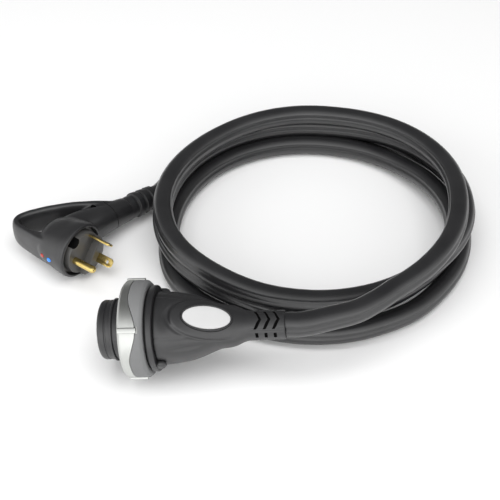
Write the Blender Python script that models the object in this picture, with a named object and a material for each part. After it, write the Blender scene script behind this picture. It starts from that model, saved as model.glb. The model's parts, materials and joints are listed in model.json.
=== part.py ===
# Shore power cord: twist-lock connector with a turning ring, coiled cord, right-angle plug with a handle.
# Blender 4.5, standalone, metres and +Z up. +X runs along the connector towards its cord and the nose
# points to -X. Everything lies on the floor, Z = 0. Shapes are drawn in millimetres and scaled on the way in.
import bpy
import bmesh
import math
from mathutils import Vector, Matrix

for old in list(bpy.data.objects):
    bpy.data.objects.remove(old, do_unlink=True)

MM = 0.001
GAP = 0.3                       # clear space between neighbouring solids

# Driving dimensions, in millimetres and degrees
# connector: s runs along its axis from the nose front, angles go from the badge towards the near side
PITCH, ROLL = 7.0, 23.0         # it rests on its ring and rises towards the cord, badge rolled our way
NOSE_X, AXIS_Z = -72.3, 35.95   # nose front, on the axis
CONN_LEN = 146.5
NOSE_R, NOSE_BORE = 23.7, 20.6
LIP_S, LIP_R = 11.6, 25.0
RING_S0, RING_S1 = 20.0, 39.8
RING_R, RING_BORE = 38.8, 33.6
RIB_COUNT, RIB_AT, RIB_H, RIB_W = 4, 22.0, 1.3, 4.4
EDGE_STEP = 1.6                 # depth of the step that the matte band sits in
WAVE_S, WAVE_H = 27.6, 7.0      # where the glossy front ends, and how much further at every other rib
NECK_R = 31.0
COLLAR_S0, COLLAR_S1, COLLAR_R = 41.0, 46.0, 34.3
SLEEVE_S0, SLEEVE_R = 112.0, 11.5
BADGE_S, BADGE_R, BADGE_A, BADGE_B = 87.0, 20.3, 18.9, 9.4
BADGE_LEAN = 17.5               # the body narrows under the badge
SLOTS = {'hot': (30.0, 76.0), 'neutral': (148.0, 194.0), 'ground': (268.0, 318.0)}
SLOT_R, SLOT_W, SLOT_FOOT = 13.2, 2.4, 2.6
# cord and coil
CORD_R = 9.0
COIL_X, COIL_Y = 89.0, 156.3
# plug: n runs out of its face along the blades, h across towards the cord
FACE_AT, FACE_AZ, FACE_R = (-106.8, 97.8, 25.4), -30.3, 25.4
NECK_TURN = 80.0                # from the blades' direction to the cord's
ROOT = -1.3                     # where blades and pin start, just clear of the insert
RIM_AT, STEP_AT = -3.5, 6.5     # front of the housing, and of the insert's raised step round one blade
BLADE_L, BLADE_W, BLADE_T, HOLE_R = 22.6, 8.4, 1.8, 1.6
BLADES = {'hot': (11.2, 11.2, -45.0), 'neutral': (9.8, -9.9, 45.0)}
PIN_L, PIN_R = 22.6, 3.2
LAMPS = {'red': (-27.5, -22.4, -0.4), 'blue': (-19.1, -23.5, -0.4)}
HANDLE_SCREW = (-23.8, 41.9, 5.6)
BOOT_AT, BOOT_LEN, BOOT_SINK = 74.0, 29.0, 7.4

# name: colour, roughness, metallic
FINISHES = {
    'grip_black': ((0.028, 0.028, 0.030), 0.42, 0.0),
    'shell_black': ((0.030, 0.030, 0.032), 0.34, 0.0),
    'cord_black': ((0.026, 0.026, 0.028), 0.38, 0.0),
    'ring_silver': ((0.62, 0.63, 0.62), 0.22, 0.6),
    'ring_grey': ((0.34, 0.34, 0.34), 0.50, 0.0),
    'badge_white': ((0.86, 0.86, 0.86), 0.30, 0.0),
    'carrier_grey': ((0.10, 0.10, 0.105), 0.45, 0.0),
    'brass': ((0.78, 0.60, 0.26), 0.22, 1.0),
    'steel': ((0.60, 0.60, 0.60), 0.30, 1.0),
    'red_lamp': ((0.90, 0.10, 0.06), 0.20, 0.0),
    'blue_lamp': ((0.10, 0.38, 0.95), 0.20, 0.0),
    'hot_wire': ((0.04, 0.04, 0.04), 0.45, 0.0),
    'neutral_wire': ((0.80, 0.80, 0.78), 0.45, 0.0),
    'ground_wire': ((0.06, 0.34, 0.12), 0.45, 0.0),
}


# ------------------------------------------------------------------ objects
def material(name):
    mat = bpy.data.materials.get(name)
    if mat is None:
        colour, rough, metal = FINISHES[name]
        mat = bpy.data.materials.new(name)
        mat.use_nodes = True
        shader = mat.node_tree.nodes['Principled BSDF']
        shader.inputs['Base Color'].default_value = (*colour, 1.0)
        shader.inputs['Roughness'].default_value = rough
        shader.inputs['Metallic'].default_value = metal
    return mat


def link(ob, parent=None):
    bpy.context.scene.collection.objects.link(ob)
    ob.parent = parent
    return ob


def empty(name, at=(0, 0, 0), turn=(0, 0, 0), parent=None):
    ob = link(bpy.data.objects.new(name, None), parent)
    ob.location = Vector(at) * MM
    ob.rotation_euler = [math.radians(a) for a in turn]
    return ob


def add(name, bm, parent, finish=None):
    """turn a bmesh in millimetres into an object; without a finish it is a guide for a Boolean"""
    bmesh.ops.remove_doubles(bm, verts=bm.verts[:], dist=1e-4)
    bmesh.ops.recalc_face_normals(bm, faces=bm.faces[:])
    bmesh.ops.scale(bm, vec=(MM, MM, MM), verts=bm.verts[:])
    mesh = bpy.data.meshes.new(name)
    bm.to_mesh(mesh)
    bm.free()
    mesh.shade_smooth()
    mesh.set_sharp_from_angle(angle=math.radians(35))
    ob = link(bpy.data.objects.new(name, mesh), parent)
    if finish:
        mesh.materials.append(material(finish))
    else:
        as_guide(ob)
    return ob


def as_guide(ob):
    ob.hide_render = True
    ob.display_type = 'WIRE'
    return ob


def combine(ob, others, operation='DIFFERENCE'):
    """Boolean modifiers, always with one Weld after the last of them"""
    weld = ob.modifiers.get('weld')
    if weld:
        ob.modifiers.remove(weld)
    for other in others:
        mod = ob.modifiers.new(operation.lower(), 'BOOLEAN')
        mod.operation = operation
        mod.solver = 'EXACT'
        mod.object = other
    weld = ob.modifiers.new('weld', 'WELD')
    weld.merge_threshold = 2e-6


# ------------------------------------------------------------------ shapes, in millimetres
def turned(profile, steps=36):
    """profile of (s, r) spun about the local X axis; it is closed unless it starts on the axis"""
    bm = bmesh.new()
    verts = [bm.verts.new((s, 0, r)) for s, r in profile]
    edges = [bm.edges.new(pair) for pair in zip(verts, verts[1:])]
    if profile[0][1] > 0:
        edges.append(bm.edges.new((verts[-1], verts[0])))
    bmesh.ops.spin(bm, geom=verts + edges, cent=(0, 0, 0), axis=(1, 0, 0), dvec=(0, 0, 0),
                   angle=2 * math.pi, steps=steps, use_merge=True)
    return bm


def lofted(rings):
    """closed skin through rings of equal point counts, capped at both ends"""
    bm = bmesh.new()
    loops = [[bm.verts.new(p) for p in ring] for ring in rings]
    count = len(loops[0])
    for a, b in zip(loops, loops[1:]):
        for k in range(count):
            bm.faces.new((a[k], a[(k + 1) % count], b[(k + 1) % count], b[k]))
    bm.faces.new(loops[0][::-1])
    bm.faces.new(loops[-1])
    return bm


def extruded(outline, low, high, along_x=False):
    """flat outline extruded along Z, or along X when the outline is (y, z)"""
    bm = bmesh.new()
    face = bm.faces.new([bm.verts.new((low, *p) if along_x else (*p, low)) for p in outline])
    made = bmesh.ops.extrude_face_region(bm, geom=[face])
    moved = [v for v in made['geom'] if isinstance(v, bmesh.types.BMVert)]
    bmesh.ops.translate(bm, vec=(high - low, 0, 0) if along_x else (0, 0, high - low), verts=moved)
    return bm


def rod(start, end, radius, sides=14):
    start, end = Vector(start), Vector(end)
    turn = (end - start).to_track_quat('Z', 'Y').to_matrix().to_4x4()
    bm = bmesh.new()
    bmesh.ops.create_cone(bm, cap_ends=True, segments=sides, radius1=radius, radius2=radius,
                          depth=(end - start).length, matrix=Matrix.Translation((start + end) / 2) @ turn)
    return bm


def block(low, high, turn_x=0.0):
    low, high = Vector(low), Vector(high)
    place = Matrix.Translation((low + high) / 2) @ Matrix.Diagonal((*(high - low), 1.0))
    bm = bmesh.new()
    bmesh.ops.create_cube(bm, size=1.0, matrix=Matrix.Rotation(math.radians(turn_x), 4, 'X') @ place)
    return bm


def polar(radius, angle):
    """(y, z) across the connector's axis"""
    return -radius * math.sin(math.radians(angle)), radius * math.cos(math.radians(angle))


def section(centre, across, up, half_w, half_h, count=24, power=2.2):
    """superellipse ring; power 2 is an ellipse, more is squarer"""
    ring = []
    for k in range(count):
        c, s = math.cos(2 * math.pi * k / count), math.sin(2 * math.pi * k / count)
        q = (abs(c) ** power + abs(s) ** power) ** (-1.0 / power)
        ring.append(Vector(centre) + across * (half_w * q * c) + up * (half_h * q * s))
    return ring


def oval(half_a, half_b, count=28):
    turns = [2 * math.pi * k / count for k in range(count)]
    return [(half_a * math.cos(t), half_b * math.sin(t)) for t in turns]


def arc_outline(radius, start, end, width, foot=0.0, steps=7):
    """curved slot in (y, z); foot drops a locking notch inwards at its end"""
    step = (end - start) / steps
    outer = [polar(radius + width / 2, start + step * i) for i in range(steps + 1)]
    inner = [polar(radius - width / 2, end - step * i) for i in range(steps + 1)]
    if foot:
        low = radius - width / 2 - foot
        inner[1:3] = [polar(low, end), polar(low, end - 2 * step), inner[2]]
    return outer + inner


def smooth_path(points, step):
    """evenly spaced points on a Catmull-Rom curve through hand-chosen ones"""
    p = [Vector(q) for q in points]
    p = [p[0] * 2 - p[1]] + p + [p[-1] * 2 - p[-2]]
    fine = []
    for a, b, c, d in zip(p, p[1:], p[2:], p[3:]):
        for k in range(24):
            t = k / 24.0
            fine.append(0.5 * (2 * b + (c - a) * t + (2 * a - 5 * b + 4 * c - d) * t * t
                               + (3 * b - a - 3 * c + d) * t ** 3))
    fine.append(p[-2])
    run = [0.0]
    for a, b in zip(fine, fine[1:]):
        run.append(run[-1] + (b - a).length)
    count = max(2, round(run[-1] / step))
    even = []
    j = 0
    for k in range(count + 1):
        want = run[-1] * k / count
        while j < len(run) - 2 and run[j + 1] < want:
            j += 1
        even.append(fine[j].lerp(fine[j + 1], (want - run[j]) / (run[j + 1] - run[j])))
    return even


def cord_piece(name, points, radius):
    """a free stretch of cord: a bevelled POLY curve with filled caps"""
    curve = bpy.data.curves.new(name, 'CURVE')
    curve.dimensions = '3D'
    curve.bevel_depth = radius * MM
    curve.bevel_resolution = 3
    curve.use_fill_caps = True
    curve.materials.append(material('cord_black'))
    spline = curve.splines.new('POLY')
    spline.points.add(len(points) - 1)
    for point, co in zip(spline.points, points):
        point.co = (*(Vector(co) * MM), 1.0)
    return link(bpy.data.objects.new(name, curve))


# ------------------------------------------------------------------ frames of reference
CONNECTOR = empty('connector_frame', (NOSE_X, 0, AXIS_Z), (ROLL, -PITCH, 0))
RING = empty('ring_frame', parent=CONNECTOR)
PLUG = empty('plug_frame', FACE_AT, (0, 0, FACE_AZ))
NECK_DIR = Vector((math.cos(math.radians(NECK_TURN)), math.sin(math.radians(NECK_TURN)), 0))
NECK_SIDE = Vector((NECK_DIR.y, -NECK_DIR.x, 0))
NECK_BASE = Vector((-24.5, 2.0, 0.0))
BOOT = empty('boot_frame', NECK_BASE + NECK_DIR * BOOT_AT + Vector((0, 0, -8.8)), (0, BOOT_SINK, NECK_TURN),
             PLUG)
COIL = empty('coil_frame', (COIL_X, COIL_Y, 0), (0, -90, 0))
ACROSS, UP = Vector((0, 1, 0)), Vector((0, 0, 1))
bpy.context.view_layer.update()


def from_frame(frame, point):
    """a point in a frame's own millimetres, in world millimetres"""
    return (frame.matrix_world @ (Vector(point) * MM)) / MM


def on_coil(angle, radius, height):
    """angle in degrees, anticlockwise from the near side"""
    a = math.radians(angle)
    return Vector((COIL_X + radius * math.sin(a), COIL_Y - radius * math.cos(a), height))


# ------------------------------------------------------------------ connector
def nose():
    add('nose_shell', turned([
        (0.0, NOSE_BORE), (0.0, NOSE_R - 2.6), (0.8, NOSE_R - 0.9), (2.6, NOSE_R), (5.8, NOSE_R),
        (6.2, NOSE_R - 0.6), (7.2, NOSE_R - 0.6), (7.6, NOSE_R), (52.0, NOSE_R), (52.0, 8.0), (47.0, 8.0),
        (47.0, NOSE_BORE)], 40), CONNECTOR, 'shell_black')
    front, back = LIP_S - 0.9, LIP_S + 1.2
    add('nose_lip', turned([
        (front, NOSE_R + GAP), (front, LIP_R - 0.5), (front + 0.5, LIP_R), (back - 0.5, LIP_R),
        (back, LIP_R - 0.5), (back, NOSE_R + GAP)], 40), CONNECTOR, 'shell_black')


def contacts():
    """carrier with three curved slots, the ground's with the locking foot; contacts, terminals and wires"""
    rim = NOSE_BORE - GAP
    carrier = add('contact_carrier', turned([(2.0, 0), (2.0, rim - 0.6), (2.6, rim), (20.0, rim), (20.0, 0)]),
                  CONNECTOR, 'carrier_grey')
    for name, (start, end) in SLOTS.items():
        foot = SLOT_FOOT if name == 'ground' else 0.0
        slot = extruded(arc_outline(SLOT_R, start, end, SLOT_W, foot), 1.0, 14.0, along_x=True)
        combine(carrier, [add('cut_' + name, slot, CONNECTOR)])
        strip = extruded(arc_outline(SLOT_R, start + 6, end - 6, SLOT_W / 2), 9.0, 14.0 - GAP, along_x=True)
        add('contact_' + name, strip, CONNECTOR, 'brass')
        y, z = polar(SLOT_R - 1.5, (start + end) / 2)
        add('terminal_' + name, rod((20.3, y, z), (31.0, y, z), 4.0, 12), CONNECTOR, 'brass')
        add('terminal_screw_' + name, rod((31.3, y, z), (34.4, y, z), 2.6, 12), CONNECTOR, 'steel')
        y, z = polar(4.6, (start + end) / 2)
        wire = rod((22.0, y, z), (83.6, y * 0.85, z * 0.85), 1.7, 10)
        add('conductor_' + name, wire, CONNECTOR, name + '_wire')


def collar():
    """collar behind the ring, with the neck that the ring turns on and two round lugs"""
    rib = COLLAR_R - 0.8
    ob = add('collar', turned([
        (COLLAR_S0 - 4.4, NOSE_R + GAP), (COLLAR_S0 - 4.4, NECK_R - 0.4), (COLLAR_S0 - 4.0, NECK_R),
        (COLLAR_S0, NECK_R), (COLLAR_S0, rib), (COLLAR_S0 + 0.8, COLLAR_R), (COLLAR_S1 - 0.8, COLLAR_R),
        (COLLAR_S1, rib), (COLLAR_S1, NOSE_R + GAP)], 40), CONNECTOR, 'shell_black')
    along = Vector((1, 0, 0))
    for angle in (90.0, 270.0):
        outward = Vector((0, *polar(1.0, angle)))
        foot = along * (COLLAR_S1 + 2.2)
        rings = [section(foot + outward * r, along, outward.cross(along), half, half, 12, 2.0)
                 for r, half in ((29.2, 4.8), (30.8, 4.8), (32.2, 4.0), (33.1, 1.9))]
        combine(ob, [add('lug', lofted(rings), CONNECTOR)], 'UNION')


def grip_body():
    """hand grip: fat behind the collar, waisted to the sleeve, hollow, with an oval seat for the badge"""
    shape = [(COLLAR_S1 + GAP, 28.6, 28.4), (52.0, 28.3, 27.9), (58.0, 27.6, 26.6), (66.0, 26.6, 25.2),
             (74.0, 24.9, 23.8), (81.0, 22.6, 22.0), (88.0, 19.8, 19.6), (95.0, 17.0, 16.8),
             (101.0, 15.0, 14.8), (107.0, 13.1, 13.1), (SLEEVE_S0 - GAP, 12.0, 12.0)]
    body = add('grip_body', lofted([section((s, 0, 0), ACROSS, UP, a, b, 32, 2.15) for s, a, b in shape]),
               CONNECTOR, 'grip_black')
    cord_bore = CORD_R + 0.6
    hollow = [(40.0, 0), (40.0, NOSE_R + 0.5), (52.4, NOSE_R + 0.5), (52.4, 20.0), (66.0, 18.0), (80.0, 14.6),
              (96.0, 13.0), (96.0, cord_bore), (130.0, cord_bore), (130.0, 0)]
    combine(body, [add('cut_hollow', turned(hollow, 40), CONNECTOR)])
    seat = empty('badge_frame', (BADGE_S, 0, BADGE_R), (0, BADGE_LEAN, 0), CONNECTOR)
    pocket = extruded(oval(BADGE_A + 1.6, BADGE_B + 1.6), -3.2, 9.0)
    combine(body, [add('cut_seat', pocket, seat)])
    bezel = add('badge_bezel', extruded(oval(BADGE_A + 1.3, BADGE_B + 1.3), -2.9, 0.5), seat, 'shell_black')
    combine(bezel, [add('cut_bezel', extruded(oval(BADGE_A + 0.2, BADGE_B + 0.2), -1.6, 2.0), seat)])
    add('badge_plate', extruded(oval(BADGE_A - 0.1, BADGE_B - 0.1), -1.3, 0.8), seat, 'badge_white')


def strain_relief():
    """sleeve with three chevrons on two sides and rows of short slots between them"""
    bore = CORD_R + GAP
    sleeve = add('strain_relief', turned([
        (SLEEVE_S0, bore), (SLEEVE_S0, SLEEVE_R - 0.1), (SLEEVE_S0 + 3, SLEEVE_R), (CONN_LEN - 1.6, SLEEVE_R),
        (CONN_LEN - 0.4, SLEEVE_R - 0.5), (CONN_LEN, SLEEVE_R - 1.4), (CONN_LEN, bore)], 32),
        CONNECTOR, 'grip_black')
    arm, width, point, floor = 5.8, 2.0, 4.4, 9.8
    for i in range(3):
        s = 121.6 + 6.6 * i
        chevron = [(s, -arm), (s + width, -arm), (s + width + point, 0), (s + width, arm), (s, arm),
                   (s + point, 0)]
        for low, high in ((floor, 14.0), (-14.0, -floor)):
            combine(sleeve, [add('cut_chevron', extruded(chevron, low, high), CONNECTOR)])
        for angle in (62.0, 118.0, 242.0, 298.0):
            slot = block((s, -2.4, 10.4), (s + width, 2.4, 14.0), angle)
            combine(sleeve, [add('cut_slot', slot, CONNECTOR)])


def cord_clamp():
    for name, start in (('upper', -78.0), ('lower', 102.0)):
        half = extruded(arc_outline(10.85, start, start + 156.0, 2.7, steps=10), 87.0, 94.0, along_x=True)
        add('cord_clamp_' + name, half, CONNECTOR, 'steel')


# ------------------------------------------------------------------ locking ring, turning on the collar
def waved(bm, shift=0.0):
    """bend the edge drawn at WAVE_S so that it swings back at every other rib"""
    for v in bm.verts:
        if abs(v.co.x - WAVE_S) < 1e-3:
            angle = math.degrees(math.atan2(-v.co.y, v.co.z))
            from_rib = (angle - RIB_AT + 90.0) % 180.0 - 90.0
            swing = 0.5 * (1 + math.cos(math.radians(4 * from_rib))) if abs(from_rib) < 45.0 else 0.0
            v.co.x += shift + WAVE_H * swing
    return bm


def locking_ring():
    step_r = RING_R - EDGE_STEP
    shell = add('ring_shell', waved(turned([
        (RING_S0, RING_BORE + 0.8), (RING_S0, RING_R - 2.6), (RING_S0 + 0.8, RING_R - 1.0),
        (RING_S0 + 2.6, RING_R), (WAVE_S, RING_R), (WAVE_S, step_r), (RING_S1 - 3.0, step_r),
        (RING_S1 - 3.0, RING_BORE + 2.0), (RING_S0 + 1.0, RING_BORE + 2.0)], 48)), RING, 'ring_silver')
    grip = add('ring_grip', waved(turned([
        (WAVE_S, step_r + GAP), (WAVE_S, RING_R), (RING_S1 - 2.6, RING_R - 0.3),
        (RING_S1 - 0.7, RING_R - 1.4), (RING_S1, RING_R - 2.6), (RING_S1, NECK_R + 1.0),
        (RING_S1 - 2.7, NECK_R + 1.0),
        (RING_S1 - 2.7, step_r + GAP)], 48), GAP), RING, 'ring_grey')
    end, half = RING_S0 + 15.4, RIB_W / 2
    for i in range(RIB_COUNT):
        angle = RIB_AT + i * 360.0 / RIB_COUNT
        rib = block((RING_S0 + 1.4, -half, RING_R - 1.2), (end, half, RING_R + RIB_H), angle)
        combine(shell, [add('rib', rib, RING)], 'UNION')
        room = block((RING_S0, -half - GAP, step_r), (end + GAP, half + GAP, RING_R + 2), angle)
        combine(grip, [add('cut_rib', room, RING)])
    root, crest, pitch, first = RING_BORE + 0.2, RING_BORE - 1.3, 3.6, RING_S0 + 1.6
    profile = [(first, RING_BORE + 1.7)]
    for i in range(4):
        s = first + pitch * i
        profile += [(s, root), (s + 1.1, crest), (s + 2.2, root)]
    profile += [(first + 4 * pitch, root), (first + 4 * pitch, RING_BORE + 1.7)]
    add('ring_thread', turned(profile, 32), RING, 'ring_grey')


# ------------------------------------------------------------------ plug
def head_skin(grow=0.0):
    """round face running back to the heel; grow gives the guide that keeps neighbours clear"""
    face = [(RIM_AT - 1.4, FACE_R, 2.0), (-9.0, FACE_R, 2.05)]
    heel = [(-17.0, 0.0, 24.3, 23.4), (-25.0, 0.0, 23.6, 21.4), (-32.0, -0.4, 21.6, 18.8),
            (-37.0, 0.2, 18.6, 15.6), (-40.2, 1.5, 13.4, 11.4), (-41.4, 2.0, 8.0, 7.0)]
    if not grow:
        face.insert(0, (RIM_AT, FACE_R - 1.4, 2.0))
    rings = [section((n, 0, 0), ACROSS, UP, r + grow, r + grow, 28, power) for n, r, power in face]
    rings += [section((n - 2 * grow, h, 0), ACROSS, UP, a + grow, b + grow, 28, 2.15) for n, h, a, b in heel]
    return lofted(rings)


def neck_skin(grow=0.0):
    """neck from the head to the boot; values are along, half width, half height, sideways and down"""
    neck = [(-4.0, 14.5, 17.0, -3.0, 0.0), (8.0, 14.5, 17.5, -2.0, 0.0), (21.0, 14.4, 17.0, -0.8, -0.4),
            (34.0, 13.4, 15.6, 0.0, -1.8), (47.0, 12.2, 13.6, 0.0, -3.8), (60.0, 11.3, 12.0, 0.0, -6.0),
            (BOOT_AT - 2.0, 10.7, 10.9, 0.0, -8.4)]
    return lofted([section(NECK_BASE + NECK_DIR * along + NECK_SIDE * side + UP * down, NECK_SIDE, UP,
                           a + grow, b + grow) for along, a, b, side, down in neck])


def plug_housing():
    housing = add('plug_housing', head_skin(), PLUG, 'shell_black')
    combine(housing, [add('neck', neck_skin(), PLUG)], 'UNION')
    combine(housing, [add('cut_face', rod((RIM_AT - 5, 0, 0), (3, 0, 0), FACE_R - 3.0, 28), PLUG)])
    for name, (n, h, z) in LAMPS.items():
        combine(housing, [add('cut_lamp', rod((n, h + 2.9, z), (n, h - 4.0, z), 2.2), PLUG)])
        add('lamp_' + name, rod((n, h + 2.6, z), (n, h - 0.7, z), 1.9), PLUG, name + '_lamp')
    rim = FACE_R - 3.3
    add('face_rim', turned([(RIM_AT - 2, rim), (RIM_AT + 0.6, rim), (RIM_AT + 0.6, rim - 1.3),
                            (RIM_AT - 0.4, rim - 1.9), (RIM_AT - 2, rim - 1.9)], 32), PLUG, 'shell_black')
    drum = rim - 2.8
    insert = add('face_insert', turned([(RIM_AT - 4.7, 0), (RIM_AT - 4.7, rim), (RIM_AT - 2.3, rim),
                                        (RIM_AT - 2.3, drum), (ROOT - GAP, drum), (ROOT - GAP, 0)], 32),
                 PLUG, 'carrier_grey')
    h, z, turn = BLADES['neutral']
    low, high = -math.acos(5.5 / (drum - 0.4)), math.acos(5.5 / (drum - 0.4))
    arc = [low + (high - low) * k / 12 for k in range(13)]
    step = extruded([((drum - 0.4) * math.sin(a), (drum - 0.4) * math.cos(a)) for a in arc], -3.0, STEP_AT,
                    along_x=True)
    combine(insert, [add('step', step, empty('step_frame', turn=(180 + turn, 0, 0), parent=PLUG))], 'UNION')
    seat = empty('slot_frame', (0, h, z), (turn, 0, 0), PLUG)
    room = block((ROOT - 2 * GAP, -BLADE_W / 2 - GAP, -BLADE_T / 2 - GAP),
                 (STEP_AT + 2, BLADE_W / 2 + GAP, BLADE_T / 2 + GAP))
    combine(insert, [add('cut_blade_slot', room, seat)])


def prongs():
    """two flat blades at right angles to each other and the round ground pin"""
    half, hole = BLADE_W / 2, BLADE_L - 5.6
    lower = [(ROOT, -half), (BLADE_L - 2.6, -half), (BLADE_L - 0.6, 1.1 - half), (BLADE_L, 2.4 - half)]
    outline = lower + [(n, -w) for n, w in lower[::-1]]
    for name, (h, z, turn) in BLADES.items():
        seat = empty('blade_frame', (0, h, z), (turn, 0, 0), PLUG)
        blade = add('blade_' + name, extruded(outline, -BLADE_T / 2, BLADE_T / 2), seat, 'brass')
        combine(blade, [add('cut_hole', rod((hole, 0, -3), (hole, 0, 3), HOLE_R), seat)])
    seat = empty('pin_frame', (0, -12.0, 0), parent=PLUG)
    add('ground_pin', turned([(ROOT, 0), (ROOT, PIN_R), (PIN_L - 2.0, PIN_R), (PIN_L - 0.6, PIN_R - 0.8),
                              (PIN_L, PIN_R - 2.0), (PIN_L, 0)], 16), seat, 'brass')


def pull_handle():
    """band from the heel's near side round to the neck; rows are n, h, height of the middle, half height"""
    route = [(-30.0, -16.4, -1.0, 14.6), (-36.5, -15.9, -1.5, 14.2), (-50.0, -14.2, -2.6, 13.6),
             (-64.0, -11.8, -3.8, 12.9), (-71.2, -8.2, -4.4, 12.6), (-73.0, -2.6, -4.5, 12.5),
             (-70.6, 4.0, -4.4, 12.6), (-66.0, 10.2, -4.0, 12.9), (-58.2, 18.4, -3.2, 13.6),
             (-50.0, 25.2, -2.2, 14.2), (-41.0, 33.0, -1.4, 14.6), (-31.8, 40.8, -1.2, 14.4),
             (-27.0, 47.0, -1.6, 13.6)]
    path = smooth_path(route, 7.0)
    rings = []
    for before, here, after in zip([path[0]] + path, path, path[1:] + [path[-1]]):
        side = Vector((after.y - before.y, before.x - after.x, 0)).normalized()
        rings.append(section((here.x, here.y, here.z), side, UP, 3.6, here.w, 16, 2.8))
    handle = add('pull_handle', lofted(rings), PLUG, 'grip_black')
    combine(handle, [add('cut_head', head_skin(GAP), PLUG), add('cut_neck', neck_skin(GAP), PLUG)])
    n, h, z = HANDLE_SCREW
    hole = rod((n, h, z - GAP), (n, h, 20.0), 2.5)
    combine(bpy.data.objects['plug_housing'], [add('cut_screw', hole, PLUG)])
    add('handle_screw', rod((n, h, z), (n, h, z + 2.6), 2.2), PLUG, 'steel')


def plug_boot():
    """stepped strain relief that follows the neck down to the floor"""
    profile = [(0.0, CORD_R + GAP), (0.0, 10.6), (3.6, 10.9)]
    for s, ridge in ((4.2, 11.6), (12.6, 11.0), (20.6, 10.9)):
        profile += [(s, 10.1), (s + 1.6, 10.1), (s + 2.2, ridge), (s + 7.8, ridge - 0.3)]
    profile += [(BOOT_LEN, 9.9), (BOOT_LEN, CORD_R + GAP)]
    add('plug_strain_relief', turned(profile, 24), BOOT, 'grip_black')


# ------------------------------------------------------------------ cord: lead, coil and tail
def channel(points, radius):
    """room for a stretch of cord that beds into the coil, running on by the gap past its last point"""
    ahead = (points[-1] - points[-2]).normalized()
    curve = cord_piece('channel_curve', points[:-1] + [points[-1] + ahead * GAP], radius)
    mesh = bpy.data.meshes.new_from_object(curve.evaluated_get(bpy.context.evaluated_depsgraph_get()))
    bpy.data.objects.remove(curve, do_unlink=True)
    bm = bmesh.new()
    bm.from_mesh(mesh)
    bmesh.ops.scale(bm, vec=(1 / MM, 1 / MM, 1 / MM), verts=bm.verts[:])
    return add('cut_channel', bm, None)


def cord():
    lead = smooth_path([from_frame(CONNECTOR, (s, 0, 0)) for s in (84.0, 116.0, CONN_LEN, CONN_LEN + 14.0)]
                       + [on_coil(8, 150.0, 56.5), on_coil(22, 140.5, 57.0), on_coil(34, 132.5, 57.3)], 18.0)
    tail = smooth_path([from_frame(BOOT, (s, 0, 0)) for s in (2.0, BOOT_LEN - 2.0, BOOT_LEN + 9.0)]
                       + [on_coil(246, 148.4, 9.8), on_coil(238, 147.0, 9.6), on_coil(231, 146.4, 9.6)], 12.0)
    cord_piece('cord_lead', lead, CORD_R)
    cord_piece('cord_tail', tail, CORD_R)
    stack = [(0.6, 121), (0.6, 149), (4, 153), (9, 154.5), (14, 153), (19, 149.5), (27, 147), (36, 144),
             (44, 142), (50, 138), (53, 133), (53, 127), (49, 121), (42, 117.5), (33, 115), (18, 112.5), (6, 114)]
    coil = add('cord_coil', turned(stack, 48), COIL, 'cord_black')
    combine(coil, [channel(lead, CORD_R + 0.5), channel(tail, CORD_R + 0.6),
                   add('cut_boot', rod((3, 0, 0), (BOOT_LEN + 4, 0, 0), 12.4, 18), BOOT)])


nose()
contacts()
collar()
grip_body()
strain_relief()
cord_clamp()
locking_ring()
plug_housing()
prongs()
pull_handle()
plug_boot()
cord()
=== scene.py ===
# Looks of the shore power cord: connector with its locking ring, coiled cord, right-angle plug with a handle.
import json
import math
import bmesh
import bpy
from mathutils import Matrix, Vector


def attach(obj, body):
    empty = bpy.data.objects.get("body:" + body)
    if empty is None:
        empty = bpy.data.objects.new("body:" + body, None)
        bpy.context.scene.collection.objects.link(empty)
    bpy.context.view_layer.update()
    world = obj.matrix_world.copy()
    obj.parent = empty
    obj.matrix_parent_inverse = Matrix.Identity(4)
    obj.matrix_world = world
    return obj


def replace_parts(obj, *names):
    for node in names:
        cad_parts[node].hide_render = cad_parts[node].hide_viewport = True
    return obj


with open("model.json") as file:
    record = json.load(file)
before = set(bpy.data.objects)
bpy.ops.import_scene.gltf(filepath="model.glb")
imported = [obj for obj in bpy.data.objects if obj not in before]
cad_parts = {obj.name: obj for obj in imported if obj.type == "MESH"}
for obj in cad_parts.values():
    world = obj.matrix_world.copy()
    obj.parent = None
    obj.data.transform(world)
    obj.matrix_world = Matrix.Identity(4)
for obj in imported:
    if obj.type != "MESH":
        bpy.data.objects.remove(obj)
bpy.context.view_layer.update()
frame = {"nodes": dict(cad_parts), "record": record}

MM = 0.001
BODY, RING = "connector", "locking_ring"

# Frames of the two ends, as in the CAD: shapes below are drawn in their own millimetres
PITCH, ROLL, NOSE_X, AXIS_Z = 7.0, 23.0, -72.3, 35.95
FACE_AT, FACE_AZ, NECK_TURN = (-106.8, 97.8, 25.4), -30.3, 80.0
BOOT_AT, BOOT_LEN, BOOT_SINK = 74.0, 29.0, 7.4
COIL_X, COIL_Y = 89.0, 156.3
CONN_LEN, CORD_W, CORD_H = 146.5, 17.5, 19.0
CORD_S0 = 84.0                  # where the cord starts, inside the connector
SLEEVE_RUN = CONN_LEN + 0.3 - CORD_S0      # how much of it the connector hides
SWELL_END, SWELL_RUN = 170.0, 90.0         # the jacket is thicker at first and thins over this run


def frame_at(place, *turns):
    """matrix from local millimetres to world metres; turns are (degrees, axis), outermost first"""
    made = Matrix.Translation(Vector(place) * MM)
    for angle, axis in turns:
        made = made @ Matrix.Rotation(math.radians(angle), 4, axis)
    return made @ Matrix.Scale(MM, 4)


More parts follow.
